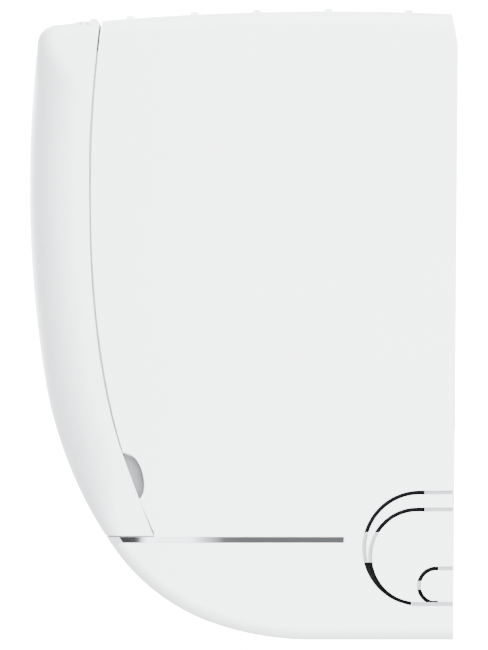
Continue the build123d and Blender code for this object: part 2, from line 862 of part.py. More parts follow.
# ---------------------------------------------------------------- drain pan with the front wall of the duct
pan_x0 = -mouth_half_width + piece_gap
pan_x1 = duct_right - piece_gap
spout_radius = 8.0
stub_radius = 9.0
spout_length = 26.0
spout_start = bulkhead_left - piece_gap
spout_end = spout_start - spout_length
spout_bore = 6.5

with BuildPart() as drain_pan:
    ribbon([at(160, 104), at(158.6, 91), at(133, 86.6), at(132.8, 98)], pan_wall, pan_x0, pan_x1)
    ribbon([at(134, 87), at(152.3, 48.5)], pan_wall, pan_x0, pan_x1)
    for x0, x1 in ((pan_x0, pan_x0 + 2), (pan_x1 - 2, pan_x1)):
        prism([at(160, 104), at(158.6, 91), at(133, 86.6), at(132.8, 106), at(160, 106)], x0, x1)
    bar(drain_y, drain_z, spout_radius, spout_end, spout_start)
    bar(drain_y, drain_z, stub_radius, spout_start, pan_x0 + 1)
    bar(drain_y, drain_z, stub_radius, pan_x1 - 1, bulkhead_right + 6)
    bar(drain_y, drain_z, spout_bore, spout_end - 1, pan_x0 + 3, mode=Mode.SUBTRACT)
    bar(drain_y, drain_z, spout_bore, pan_x1 - 3, bulkhead_right + 7, mode=Mode.SUBTRACT)
save(drain_pan.part, "drain_pan")

with BuildPart() as drain_plug:
    bar(drain_y, drain_z, spout_bore, pan_x1 - 1, bulkhead_right + 6)
    bar(drain_y, drain_z, stub_radius, bulkhead_right + 6, bulkhead_right + 9)
    bar(drain_y, drain_z, 3.0, bulkhead_right + 3, bulkhead_right + 10, mode=Mode.SUBTRACT)
save(drain_plug.part, "drain_plug")

# ---------------------------------------------------------------- coil
fin_pitch = 6.0
fin_thickness = 1.5
coil_web = 3.0
coil_centre = (coil_left + coil_right) / 2
end_plate_thickness = 1.2

for name in coil_slabs:
    start, direction, length = slab_frame(name)
    plane = Plane(origin=(coil_centre, *start), x_dir=(1, 0, 0), z_dir=(0, *direction))
    with BuildPart() as coil:
        with BuildSketch(plane):
            Rectangle(coil_right - coil_left, coil_web)
            with GridLocations(fin_pitch, 1, int((coil_right - coil_left) / fin_pitch), 1):
                Rectangle(fin_thickness, coil_thickness)
        extrude(amount=length)
    save(coil.part, name)

with BuildPart() as coil_end_plates:
    for name in coil_slabs:
        start, direction, length = slab_frame(name)
        plane = Plane(origin=(coil_centre, *start), x_dir=(1, 0, 0), z_dir=(0, *direction))
        for x in (coil_left - end_plate_thickness, coil_right):
            with BuildSketch(plane):
                with Locations((x + end_plate_thickness / 2 - coil_centre, 0)):
                    Rectangle(end_plate_thickness, coil_thickness)
            extrude(amount=length)
save(coil_end_plates.part, "coil_end_plates")


def return_bend(x, side, first, second):
    """A tube that leaves one end of the coil, turns round and goes back in."""
    reach = side * hypot(second[0] - first[0], second[1] - first[1]) / 2
    middle = ((first[0] + second[0]) / 2, (first[1] + second[1]) / 2)
    with BuildLine() as path:
        ThreePointArc((x, *first), (x + reach, *middle), (x, *second))
    with BuildSketch(Plane(origin=(x, *first), z_dir=(side, 0, 0))) as ring:
        Circle(pipe_outer_radius)
    sweep(ring.sketch, path=path.line)


with BuildPart() as return_bends:
    for name in coil_slabs:
        places = tube_places(name)
        for index in range(0, len(places) - 1, 2):
            return_bend(coil_left - end_plate_thickness, -1, places[index], places[index + 1])
        if name != "coil_rear":
            for index in range(1, len(places) - 1, 2):
                return_bend(coil_right + end_plate_thickness, 1, places[index], places[index + 1])
save(return_bends.part, "return_bends")

# ---------------------------------------------------------------- refrigerant pipes
channel_out = 16.0
gas_up, liquid_up = 52.0, 28.0
gas_x, liquid_x = bulkhead_right + 19.5, bulkhead_right + 39.5
union_x = 40.0


def pipe_run(start, turn_x, drop_out, drop_up, channel_up, end_x, radius):
    """A pipe from the coil through the right bulkhead, down behind the motor and left along the wall."""
    points = [
        (coil_right + end_plate_thickness, *start),
        (turn_x, *start),
        (turn_x, *at(drop_out, drop_up)),
        (turn_x, *at(channel_out, channel_up)),
        (end_x, *at(channel_out, channel_up)),
    ]
    with BuildLine() as path:
        FilletPolyline(*points, radius=12)
    with BuildSketch(Plane(origin=points[0], z_dir=(1, 0, 0))) as ring:
        Circle(radius)
    sweep(ring.sketch, path=path.line)


with BuildPart() as gas_pipe:
    pipe_run(gas_start, gas_x, 24, 150, gas_up, union_x + 16, gas_pipe_radius)
save(gas_pipe.part, "gas_pipe")

with BuildPart() as liquid_pipe:
    pipe_run(liquid_start, liquid_x, 24, 150, liquid_up, union_x + 14, liquid_pipe_radius)
save(liquid_pipe.part, "liquid_pipe")

gas_y, gas_z = at(channel_out, gas_up)
liquid_y, liquid_z = at(channel_out, liquid_up)

with BuildPart() as pipe_insulation:
    for y, z, outer, inner in (
        (gas_y, gas_z, 10.0, gas_pipe_radius),
        (liquid_y, liquid_z, 8.5, liquid_pipe_radius),
    ):
        bar(y, z, outer, union_x + 34, bulkhead_right - 12)
        bar(y, z, inner, union_x + 33, bulkhead_right - 11, mode=Mode.SUBTRACT)
save(pipe_insulation.part, "pipe_insulation")

gas_union_radius = 7.94
liquid_union_radius = 5.56

with BuildPart() as flare_unions:
    for y, z, thread, across_flats, length, pipe in (
        (gas_y, gas_z, gas_union_radius, 19.0, 16.0, gas_pipe_radius),
        (liquid_y, liquid_z, liquid_union_radius, 14.0, 14.0, liquid_pipe_radius),
    ):
        bar(y, z, thread, union_x, union_x + length)
        with BuildSketch(Plane.YZ.offset(union_x + length)):
            with Locations((y, z)):
                RegularPolygon(across_flats / 2, 6, major_radius=False)
        extrude(amount=14)
        bar(y, z, pipe, union_x + length, union_x + length + 15, mode=Mode.SUBTRACT)
save(flare_unions.part, "flare_unions")

# ---------------------------------------------------------------- cross-flow fan and its motor
disc_thickness = 2.0
motor_x0 = bulkhead_right + 9.5
motor_x1 = motor_x0 + 48.0
motor_radius = 38.0
mount_radius = 17.0
neck_radius = 11.0
journal_end = bulkhead_left - 2.0

blade_outer = ((fan_radius - 12.5, 0), (fan_radius - 7.0, 2.4), (fan_radius - 1.0, 8.4))
blade_inner = ((fan_radius - 1.4, 9.7), (fan_radius - 7.4, 4.0), (fan_radius - 12.5, 1.6))


def fan_point(reach, angle):
    """A point round the fan's centre."""
    return (fan_y + reach * cos(radians(angle)), fan_z + reach * sin(radians(angle)))


with BuildPart() as fan_rotor:
    for index in range(fan_blade_count):
        turn = 360 / fan_blade_count * index
        outer = [fan_point(reach, turn + lead) for reach, lead in blade_outer]
        inner = [fan_point(reach, turn + lead) for reach, lead in blade_inner]
        with BuildSketch(Plane.YZ.offset(fan_left)):
            with BuildLine():
                ThreePointArc(*outer)
                Line(outer[2], inner[0])
                ThreePointArc(*inner)
                Line(inner[2], outer[0])
            make_face()
        extrude(amount=fan_right - fan_left)
    segment = (fan_right - fan_left - disc_thickness) / fan_segment_count
    for index in range(fan_segment_count + 1):
        x = fan_left + index * segment
        bar(fan_y, fan_z, fan_radius, x, x + disc_thickness)
        if 0 < index < fan_segment_count:
            bar(fan_y, fan_z, fan_radius - 13, x - 1, x + disc_thickness + 1, mode=Mode.SUBTRACT)
    for x0, x1 in ((fan_left, fan_left + 14), (fan_right - 22, fan_right)):
        bar(fan_y, fan_z, 10.0, x0, x1)
        bar(fan_y, fan_z, shaft_radius, x0 - 1, x1 + 1, mode=Mode.SUBTRACT)
save(fan_rotor.part, "fan_rotor")

with BuildPart() as fan_journal:
    bar(fan_y, fan_z, shaft_radius, journal_end, fan_left + 14)
save(fan_journal.part, "fan_journal")

with BuildPart() as motor_shaft:
    bar(fan_y, fan_z, shaft_radius, fan_right - 22, motor_x1 + 3)
save(motor_shaft.part, "motor_shaft")

with BuildPart() as fan_bearing:
    bar(fan_y, fan_z, neck_radius, bulkhead_left - 1, bulkhead_left + 3.5)
    bore_x = (bulkhead_left - 2, bulkhead_left + 5)
    bar(fan_y, fan_z, shaft_radius + running_clearance, *bore_x, mode=Mode.SUBTRACT)
save(fan_bearing.part, "fan_bearing")

with BuildPart() as bearing_holder:
    bar(fan_y, fan_z, mount_radius, bulkhead_left - 3, bulkhead_left + 3.5)
    bar(fan_y, fan_z, neck_radius, bulkhead_left - 4, bulkhead_left + 5, mode=Mode.SUBTRACT)
save(bearing_holder.part, "bearing_holder")

with BuildPart() as fan_motor:
    bar(fan_y, fan_z, motor_radius, motor_x0, motor_x1)
    fillet(fan_motor.edges().filter_by(GeomType.CIRCLE), 4)
    bar(fan_y, fan_z, neck_radius, motor_x0 - 7, motor_x1 + 7)
    bar(fan_y, fan_z, shaft_radius + running_clearance, motor_x0 - 8, motor_x1 + 3.5, mode=Mode.SUBTRACT)
save(fan_motor.part, "fan_motor")

with BuildPart() as motor_mounts:
    for x0, x1 in ((motor_x0 - 6.5, motor_x0 - 0.5), (motor_x1 + 0.5, motor_x1 + 6.5)):
        bar(fan_y, fan_z, mount_radius, x0, x1)
        bar(fan_y, fan_z, neck_radius, x0 - 1, x1 + 1, mode=Mode.SUBTRACT)
save(motor_mounts.part, "motor_mounts")

with BuildPart() as motor_clamp:
    for x0, x1 in ((motor_x0 - 6, motor_x0 - 1), (motor_x1 + 1, motor_x1 + 6)):
        bar(fan_y, fan_z, mount_radius + 5, x0, x1)
        slab(x0, x1, 60, 104, 63, 114)
        bar(fan_y, fan_z, mount_radius, x0 - 1, x1 + 1, mode=Mode.SUBTRACT)
    slab(bulkhead_right, motor_x1 + 6, 60, 104, 60, 63.5)
save(motor_clamp.part, "motor_clamp")

# ---------------------------------------------------------------- air flap and its motor
flap_half_width = mouth_half_width - 0.7
body_flap = unit_body(flap_thickness)

def flap_web(x0, x1):
    """A web behind the flap that carries it on its hinge line."""
    with BuildPart() as web:
        bar(flap_y, flap_z, 3.4, x0, x1)
        prism([at(100.5, 9), at(99.6, 5), at(118, 8), at(128, 14), at(126, 17.5), at(105, 12)], x0, x1)
        add(body_full, mode=Mode.INTERSECT)
    return web.part


with BuildPart() as air_flap:
    add(body_full - body_flap)
    slab(-flap_half_width, flap_half_width, 99.5, 260, -20, lip_up - 0.6, mode=Mode.INTERSECT)
    for x in (-flap_half_width, -114, 114, flap_half_width):
        x0 = max(x - 3, -flap_half_width)
        x1 = min(x + 3, flap_half_width)
        add(flap_web(x0, x1))
    bar(flap_y, flap_z, vane_pin_radius, -mouth_half_width - 3.7, -flap_half_width + 1)
    bar(flap_y, flap_z, vane_pin_radius, flap_half_width - 1, mouth_half_width + 11)
save(air_flap.part, "air_flap")

with BuildPart() as flap_motor:
    motor_y, motor_z = flap_y + 3.0, flap_z + 8.5
    bar(motor_y, motor_z, 10.0, mouth_half_width + 4.6, mouth_half_width + 19)
    bar(flap_y, flap_z, flap_socket_radius, mouth_half_width + 4.1, mouth_half_width + 14)
    slab(mouth_half_width + 4.1, mouth_half_width + 6, 92, 103, 14, 36)
    bore_x = (mouth_half_width + 3, mouth_half_width + 11.5)
    bar(flap_y, flap_z, vane_pin_radius + running_clearance, *bore_x, mode=Mode.SUBTRACT)
save(flap_motor.part, "flap_motor")

# ---------------------------------------------------------------- upright vanes and their linking rods
vane_rear, vane_front = -15.0, 13.0
vane_low, vane_high = 1.5, 44.0
link_along = -11.0
link_low, link_high = 24.0, 30.0
link_pin_radius = 1.2
rod_height = 3.6
rod_width = 5.0
vanes_per_rod = vane_count // 2

for index, x in enumerate(vane_stations):
    origin = (x, *vane_base)
    with BuildPart() as vane:
        with BuildSketch(Plane(origin=origin, x_dir=flow_3d, z_dir=(-1, 0, 0)).offset(-vane_thickness / 2)):
            with BuildLine():
                Polyline(
                    (vane_rear, vane_low),
                    (vane_front, vane_low),
                    (vane_front, vane_high - 9),
                    (vane_front - 9, vane_high),
                    (vane_rear + 4, vane_high),
                    (vane_rear, vane_high - 4),
                    close=True,
                )
            make_face()
            with Locations((link_along, (link_low + link_high) / 2)):
                Rectangle(9.0, link_high - link_low, mode=Mode.SUBTRACT)
        extrude(amount=vane_thickness)
        with BuildSketch(duct_plane(x, vane_along, -4.5)):
            Circle(vane_pin_radius)
        extrude(amount=4.5 + vane_low + 1)
        with BuildSketch(duct_plane(x, vane_along + link_along, link_low - 1.0)):
            Circle(link_pin_radius)
        extrude(amount=link_high - link_low + 2.0)
    save(vane.part, f"vane_{index + 1:02d}")

for name, stations in (("left", vane_stations[:vanes_per_rod]), ("right", vane_stations[vanes_per_rod:])):
    rod_x0, rod_x1 = stations[0] - 6, stations[-1] + 6
    middle = (link_low + link_high) / 2
    with BuildPart() as rod:
        with BuildSketch(duct_plane((rod_x0 + rod_x1) / 2, vane_along + link_along, middle - rod_height / 2)):
            RectangleRounded(rod_x1 - rod_x0, rod_width, 2.0)
        extrude(amount=rod_height)
        for x in stations:
            with BuildSketch(duct_plane(x, vane_along + link_along, middle - rod_height)):
                Circle(link_pin_radius + 0.1)
            extrude(amount=2 * rod_height, mode=Mode.SUBTRACT)
    save(rod.part, f"vane_rod_{name}")

# ---------------------------------------------------------------- control box in the right bay
box_x0, box_x1 = bulkhead_right + 0.5, half_width - 10.5
box_wall = 1.5
box_outs = (126.0, 157.0)
box_ups = (108.0, 250.0)

with BuildPart() as control_box:
    slab(box_x0, box_x1, box_outs[0], box_outs[1] - 2.5, *box_ups)
    room_x = (box_x0 + box_wall, box_x1 - box_wall)
    room_ups = (box_ups[0] + box_wall, box_ups[1] - box_wall)
    slab(*room_x, box_outs[0] + box_wall, box_outs[1], *room_ups, mode=Mode.SUBTRACT)
save(control_box.part, "control_box")

with BuildPart() as control_cover:
    slab(box_x0, box_x1, box_outs[1] - 2.5, box_outs[1] - 1.2, *box_ups)
    with BuildSketch(Plane.XZ.offset(-at(120, 0)[0])):
        with Locations(((box_x0 + box_x1) / 2, at(0, 190)[1])):
            with GridLocations(9, 1, 7, 1):
                SlotOverall(36, 3.5, rotation=90)
    extrude(amount=60, mode=Mode.SUBTRACT)
save(control_cover.part, "control_cover")

with BuildPart() as circuit_board:
    slab(box_x0 + 6, box_x1 - 6, 132, 133.6, box_ups[0] + 6, box_ups[1] - 6)
    for x, out, up, size in (
        (318, 146, 226, 22),
        (345, 144, 222, 16),
        (370, 142, 220, 14),
        (330, 141, 190, 18),
        (362, 147, 176, 20),
    ):
        shift = half_width - 402.5
        slab(x + shift - size / 2, x + shift + size / 2, 133.6, out, up - size / 2, up + size / 2)
save(circuit_board.part, "circuit_board")

with BuildPart() as terminal_block:
    slab(box_x0 + 14, box_x1 - 14, 133.6, 150, 118, 140)
    for index in range(5):
        x = (box_x0 + box_x1) / 2 + (index - 2) * 13
        slab(x - 5, x + 5, 143, 151, 116, 136, mode=Mode.SUBTRACT)
save(terminal_block.part, "terminal_block")

# ---------------------------------------------------------------- steel plate, screws and caps
plate_half_width = 300.0
plate_low_up, plate_high_up = 95.0, 250.0
plate_thickness = 1.2
plate_hole_radius = 2.75
wall_hole_x = 180.0
wall_hole_ups = (125.0, 220.0)

with BuildPart() as mounting_plate:
    slab(-plate_half_width, plate_half_width, plate_thickness, 0, plate_low_up, plate_high_up)
    for x in hook_stations:
        slab(x - 18, x + 18, 7.6, 0, plate_high_up - plate_thickness, plate_high_up)
        slab(x - 18, x + 18, 7.6, 6.4, plate_high_up - plate_thickness, plate_high_up + 7.5)
    with BuildSketch(Plane.XZ.offset(-1)):
        for up in wall_hole_ups:
            for x in (-wall_hole_x, wall_hole_x):
                with Locations((x, at(0, up)[1])):
                    Circle(plate_hole_radius)
        with Locations((0, at(0, 172.5)[1])):
            with GridLocations(80, 60, 7, 2):
                SlotOverall(40, 8)
    extrude(amount=5, mode=Mode.SUBTRACT)
save(mounting_plate.part, "mounting_plate")

with BuildPart() as case_screws:
    for x in screw_stations:
        head_z = at(0, 2.9)[1]
        with BuildSketch(Plane.XY.offset(head_z)):
            with Locations((x, screw_y)):
                Circle(screw_head_radius)
        extrude(amount=2.2)
        with BuildSketch(Plane.XY.offset(head_z)):
            with Locations((x, screw_y)):
                Circle(screw_shank_radius)
        extrude(amount=13)
save(case_screws.part, "case_screws")

with BuildPart() as screw_caps:
    for x in screw_stations:
        with BuildSketch(Plane.XY.offset(at(0, 1.7)[1])):
            with Locations((x, screw_y)):
                Circle(screw_head_radius + 0.2)
        extrude(amount=1.0)
save(screw_caps.part, "screw_caps")
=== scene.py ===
import bpy
import json
import math

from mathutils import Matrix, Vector


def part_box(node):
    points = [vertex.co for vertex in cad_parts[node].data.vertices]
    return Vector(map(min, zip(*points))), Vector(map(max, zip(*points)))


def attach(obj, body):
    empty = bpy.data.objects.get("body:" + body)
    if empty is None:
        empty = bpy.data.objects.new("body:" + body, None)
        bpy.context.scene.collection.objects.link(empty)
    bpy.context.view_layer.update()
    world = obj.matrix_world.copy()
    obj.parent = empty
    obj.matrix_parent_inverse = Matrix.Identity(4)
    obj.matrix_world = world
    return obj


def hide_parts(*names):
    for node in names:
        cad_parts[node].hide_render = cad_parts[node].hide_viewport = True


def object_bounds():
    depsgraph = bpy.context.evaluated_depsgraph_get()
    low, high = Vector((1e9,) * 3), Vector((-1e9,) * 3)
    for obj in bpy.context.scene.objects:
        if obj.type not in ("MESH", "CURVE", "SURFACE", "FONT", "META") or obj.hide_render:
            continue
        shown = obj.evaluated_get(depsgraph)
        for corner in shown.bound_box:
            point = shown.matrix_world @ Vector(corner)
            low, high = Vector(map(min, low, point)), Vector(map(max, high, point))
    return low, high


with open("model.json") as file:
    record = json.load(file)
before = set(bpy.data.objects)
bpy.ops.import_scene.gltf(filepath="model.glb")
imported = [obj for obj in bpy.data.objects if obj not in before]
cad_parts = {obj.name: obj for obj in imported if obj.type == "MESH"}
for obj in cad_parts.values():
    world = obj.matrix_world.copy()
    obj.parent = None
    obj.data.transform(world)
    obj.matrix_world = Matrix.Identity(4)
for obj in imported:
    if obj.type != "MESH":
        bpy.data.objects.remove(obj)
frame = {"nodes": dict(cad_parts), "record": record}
nodes = frame["nodes"]
cadLow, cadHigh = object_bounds()
print("model loaded:", len(nodes), "nodes")


def newMaterial(name):
    material = bpy.data.materials.new(name)
    material.use_nodes = True
    tree = material.node_tree
    shader = tree.nodes["Principled BSDF"]
    place = tree.nodes.new("ShaderNodeTexCoord")
    return material, tree, shader, place.outputs["Object"]


# noise values are spread from the low to the high end of this range
noiseRange = (0.3, 0.7)


def noise(tree, place, scale, detail=3.0, stretch=None):
    texture = tree.nodes.new("ShaderNodeTexNoise")
    texture.inputs["Scale"].default_value = scale
    texture.inputs["Detail"].default_value = detail
    if stretch:
        mapping = tree.nodes.new("ShaderNodeMapping")
        mapping.inputs["Scale"].default_value = stretch
        tree.links.new(place, mapping.inputs["Vector"])
        place = mapping.outputs["Vector"]
    tree.links.new(place, texture.inputs["Vector"])
    return texture.outputs["Fac"]


def between(tree, factor, low, high):
    # spreads a factor over a range of values
    spread = tree.nodes.new("ShaderNodeMapRange")
    spread.inputs["From Min"].default_value = noiseRange[0]
    spread.inputs["From Max"].default_value = noiseRange[1]
    spread.inputs["To Min"].default_value = low
    spread.inputs["To Max"].default_value = high
    tree.links.new(factor, spread.inputs["Value"])
    return spread.outputs["Result"]


def tint(tree, factor, first, second):
    # blends two colours over a factor
    ramp = tree.nodes.new("ShaderNodeValToRGB")
    for element, position, colour in zip(ramp.color_ramp.elements, noiseRange, (first, second)):
        element.position = position
        element.color = (*colour, 1)
    tree.links.new(factor, ramp.inputs["Fac"])
    return ramp.outputs["Color"]


def bump(tree, shader, height, distance, strength=1.0):
    node = tree.nodes.new("ShaderNodeBump")
    node.inputs["Distance"].default_value = distance
    node.inputs["Strength"].default_value = strength
    tree.links.new(height, node.inputs["Height"])
    tree.links.new(node.outputs["Normal"], shader.inputs["Normal"])


def shade(colour, factor):
    return tuple(part * factor for part in colour)


def mouldedPlastic(name, colour, rough, grain=2600.0, depth=0.00002, spread=0.015):
    # even colour with a faint cloud, and the fine spark texture of a moulding tool
    material, tree, shader, place = newMaterial(name)
    cloud = noise(tree, place, 14.0, 2.0)
    tree.links.new(tint(tree, cloud, shade(colour, 1 - spread), colour), shader.inputs["Base Color"])
    fine = noise(tree, place, grain, 2.0)
    gloss = between(tree, noise(tree, place, 60.0), rough - 0.03, rough + 0.03)
    tree.links.new(gloss, shader.inputs["Roughness"])
    bump(tree, shader, fine, depth)
    shader.inputs["IOR"].default_value = 1.5
    return material


def brushedMetal(name, colour, rough, stretch=(6.0, 900.0, 900.0), depth=0.000006):
    # fine lines, drawn out along the axis with the smallest stretch
    material, tree, shader, place = newMaterial(name)
    lines = noise(tree, place, 1.0, 4.0, stretch)
    tree.links.new(tint(tree, lines, shade(colour, 0.9), colour), shader.inputs["Base Color"])
    tree.links.new(between(tree, lines, rough - 0.05, rough + 0.07), shader.inputs["Roughness"])
    bump(tree, shader, lines, depth)
    shader.inputs["Metallic"].default_value = 1.0
    return material


def polishedChrome(name, colour):
    # a bright foil finish, very slightly wavy along its length
    material, tree, shader, place = newMaterial(name)
    waves = noise(tree, place, 40.0, 2.0)
    tree.links.new(tint(tree, waves, shade(colour, 0.97), colour), shader.inputs["Base Color"])
    tree.links.new(between(tree, noise(tree, place, 300.0), 0.012, 0.03), shader.inputs["Roughness"])
    bump(tree, shader, waves, 0.000004)
    shader.inputs["Metallic"].default_value = 1.0
    return material


def zincSheet(name, colour, rough):
    # galvanised sheet with its patchwork of crystals
    material, tree, shader, place = newMaterial(name)
    cells = tree.nodes.new("ShaderNodeTexVoronoi")
    cells.inputs["Scale"].default_value = 130.0
    tree.links.new(place, cells.inputs["Vector"])
    grey = tree.nodes.new("ShaderNodeSeparateColor")
    tree.links.new(cells.outputs["Color"], grey.inputs["Color"])
    patches = tint(tree, grey.outputs["Red"], shade(colour, 0.86), colour)
    tree.links.new(patches, shader.inputs["Base Color"])
    tree.links.new(between(tree, grey.outputs["Green"], rough - 0.06, rough + 0.1), shader.inputs["Roughness"])
    bump(tree, shader, noise(tree, place, 220.0), 0.00001)
    shader.inputs["Metallic"].default_value = 1.0
    return material


def softFoam(name, colour, shine=0.5):
    # matt foam with fine closed pores
    material, tree, shader, place = newMaterial(name)
    pores = tree.nodes.new("ShaderNodeTexVoronoi")
    pores.inputs["Scale"].default_value = 900.0
    tree.links.new(place, pores.inputs["Vector"])
    cloud = noise(tree, place, 90.0)
    tree.links.new(tint(tree, cloud, shade(colour, 0.93), colour), shader.inputs["Base Color"])
    shader.inputs["Roughness"].default_value = 0.9
    shader.inputs["Specular IOR Level"].default_value = shine
    bump(tree, shader, pores.outputs["Distance"], 0.0002)
    return material


finishes = {
    "whiteCase": mouldedPlastic("whiteCase", (0.868, 0.876, 0.888), 0.36),
    "whitePanel": mouldedPlastic("whitePanel", (0.858, 0.867, 0.882), 0.30, depth=0.000008),
    "whiteInner": mouldedPlastic("whiteInner", (0.78, 0.79, 0.80), 0.5),
    "vaneGrey": mouldedPlastic("vaneGrey", (0.74, 0.75, 0.76), 0.5),
    "greyPlastic": mouldedPlastic("greyPlastic", (0.42, 0.43, 0.45), 0.5),
    # dark grey painted as the shade at the back of the finger notches
    "notchShadeGrey": mouldedPlastic("notchShadeGrey", (0.18, 0.18, 0.185), 0.5),
    # grey painted as the shade in the knock-out grooves
    "grooveShadeGrey": mouldedPlastic("grooveShadeGrey", (0.30, 0.30, 0.31), 0.5),
    "blackPlastic": mouldedPlastic("blackPlastic", (0.03, 0.03, 0.033), 0.5),
    "fanDark": mouldedPlastic("fanDark", (0.045, 0.048, 0.052), 0.48, depth=0.00004),
    "motorShell": mouldedPlastic("motorShell", (0.66, 0.65, 0.61), 0.55, grain=900.0),
    "filterBlue": mouldedPlastic("filterBlue", (0.11, 0.19, 0.30), 0.5),
    "filterNet": mouldedPlastic("filterNet", (0.06, 0.085, 0.12), 0.6),
    "panGrey": mouldedPlastic("panGrey", (0.62, 0.63, 0.64), 0.6, grain=700.0),
    "smokedLens": mouldedPlastic("smokedLens", (0.60, 0.62, 0.64), 0.12, depth=0.000002),
    "rubberBlack": mouldedPlastic("rubberBlack", (0.02, 0.02, 0.021), 0.75, grain=1400.0),
    "boardGreen": mouldedPlastic("boardGreen", (0.02, 0.10, 0.05), 0.4, spread=0.2),
    "chromeTrim": polishedChrome("chromeTrim", (0.80, 0.81, 0.83)),
    "finAluminium": brushedMetal("finAluminium", (0.66, 0.71, 0.76), 0.35),
    "copperTube": brushedMetal("copperTube", (0.72, 0.34, 0.20), 0.32),
    "turnedBrass": brushedMetal("turnedBrass", (0.72, 0.52, 0.22), 0.28, stretch=(900.0, 8.0, 8.0)),
    "shaftSteel": brushedMetal("shaftSteel", (0.55, 0.55, 0.56), 0.25, stretch=(900.0, 8.0, 8.0)),
    "screwSteel": brushedMetal("screwSteel", (0.5, 0.5, 0.52), 0.35),
    "zincSteel": zincSheet("zincSteel", (0.62, 0.63, 0.65), 0.38),
    "foamWhite": softFoam("foamWhite", (0.80, 0.80, 0.77)),
    # near-black foam, darkened past real foam as painted shade seen through the knock-out slots
    "foamBlackShade": softFoam("foamBlackShade", (0.003, 0.003, 0.0033), 0.1),
}

slotFinish = {
    "white_case": "whiteCase",
    "white_panel": "whitePanel",
    "white_inner": "whiteInner",
    "chrome_trim": "chromeTrim",
    "smoked_lens": "smokedLens",
    "grey_plastic": "greyPlastic",
    "filter_blue": "filterBlue",
    "filter_net": "filterNet",
    "fin_aluminium": "finAluminium",
    "steel_zinc": "zincSteel",
    "copper": "copperTube",
    "brass": "turnedBrass",
    "foam_white": "foamWhite",
    "foam_grey": "panGrey",
    "rubber_black": "rubberBlack",
    "black_plastic": "blackPlastic",
    "fan_dark": "fanDark",
    "shaft_steel": "shaftSteel",
    "motor_shell": "motorShell",
    "board_green": "boardGreen",
    "screw_steel": "screwSteel",
    "vane_grey": "vaneGrey",
}


def finishNode(node, finish):
    slots = node.material_slots
    if not slots:
        node.data.materials.append(finish)
    for slot in slots:
        slot.material = finish


for entry in frame["record"]["subparts"]:
    finishNode(nodes[entry["node"]], finishes[slotFinish[entry["material_slot"]]])
print("finishes on", len(nodes), "nodes")


# places in the cross-section, in millimetres out from the wall and up from the underside
plateCentreUp = 172.5
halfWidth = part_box("end_cap_right")[1].x


def at(out, up):
    return (-out / 1000, (up - plateCentreUp) / 1000)


def newPiece(name, shape, finish, body, smooth=False, replaced=()):
    vertices, faces = shape
    mesh = bpy.data.meshes.new(name)
    mesh.from_pydata(vertices, [], faces)
    mesh.validate()
    piece = bpy.data.objects.new(name, mesh)
    bpy.context.scene.collection.objects.link(piece)
    mesh.materials.append(finishes[finish])
    if smooth:
        mesh.shade_smooth()
    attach(piece, body)
    if replaced:
        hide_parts(*replaced)
    return piece


def applyModifier(piece, kind, **settings):
    modifier = piece.modifiers.new(kind.lower(), kind)
    for key, value in settings.items():
        setattr(modifier, key, value)
    bpy.context.view_layer.objects.active = piece
    with bpy.context.temp_override(object=piece, active_object=piece, selected_objects=[piece]):
        bpy.ops.object.modifier_apply(modifier=modifier.name)


def smoothByAngle(piece, limit=30.0):
    chosen = [piece]
    with bpy.context.temp_override(
        object=piece, active_object=piece, selected_objects=chosen, selected_editable_objects=chosen
    ):
        bpy.ops.object.shade_smooth_by_angle(angle=math.radians(limit))


def joined(shapes):
    # several shapes gathered into one list of points and faces
    vertices = []
    faces = []
    for points, sides in shapes:
        start = len(vertices)
        vertices.extend(points)
        faces.extend(tuple(start + corner for corner in face) for face in sides)
    return vertices, faces


def barAlongWidth(outline, x0, x1):
    # a closed outline of (y, z) points run along the width
    count = len(outline)
    vertices = [(x, y, z) for x in (x0, x1) for y, z in outline]
    faces = [tuple(reversed(range(count))), tuple(range(count, 2 * count))]
    for corner in range(count):
        after = (corner + 1) % count
        faces.append((corner, after, count + after, count + corner))
    return vertices, faces


def ringAlongWidth(y, z, inner, outer, x0, x1, sides=40):
    # a short sleeve about an axis that runs along the width
    vertices = []
    for x, radius in ((x0, inner), (x0, outer), (x1, outer), (x1, inner)):
        for side in range(sides):
            turn = 2 * math.pi * side / sides
            vertices.append((x, y + radius * math.cos(turn), z + radius * math.sin(turn)))
    faces = []
    for ring in range(4):
        following = (ring + 1) % 4
        here, there = ring * sides, following * sides
        for side in range(sides):
            after = (side + 1) % sides
            faces.append((here + side, there + side, there + after, here + after))
    return vertices, faces


# front panel: a moulded shell whose ends soften towards the front edge; the arcs are radius and turn in
# degrees, from the chin round the front to the top
frontPanel = {
    "wall": 0.0025,
    "skinStart": (66.9, 0.0),
    "skinArcs": (
        (133.6, 19.4),
        (91.3, 34.8),
        (185.4, 26.9),
        (554.5, 15.63),
        (9.0, 77.47),
        (1229.0, 8.4),
    ),
    "seam": ((138.2, 48.9), (156.3, 99.7), (164.9, 154.0), (166.7, 214.0), (165.4, 244.7), (161.8, 281.0)),
    "seamGap": 0.6,
    "seamLean": 0.36,
    "seamCornerUp": 258.0,
    "skinCornerUp": 266.0,
    "lowUp": 47.2,
    "edgeRadius": 6.0,
    "softRadius": 21.0,
    "softenUps": (40.0, 90.0),
    "hardenUps": (248.0, 276.0),
    "sideCurve": 900.0,
    "curveStart": 97.0,
    "rows": 190,
    "topRows": 30,
    "seamSteps": 600,
    "roundSteps": 16,
    "roundReach": 1.05,
    "widthReach": 0.9,
    "flatSteps": 8,
    "thinUps": (255.0, 266.0),
    "thinning": 0.75,
    "weldGap": 0.00002,
    "smoothAngle": 35,
    "lensCut": (261.9, 322.1, 57.9, 72.1),
    "lensCutOuts": (150.0, 200.0),
}


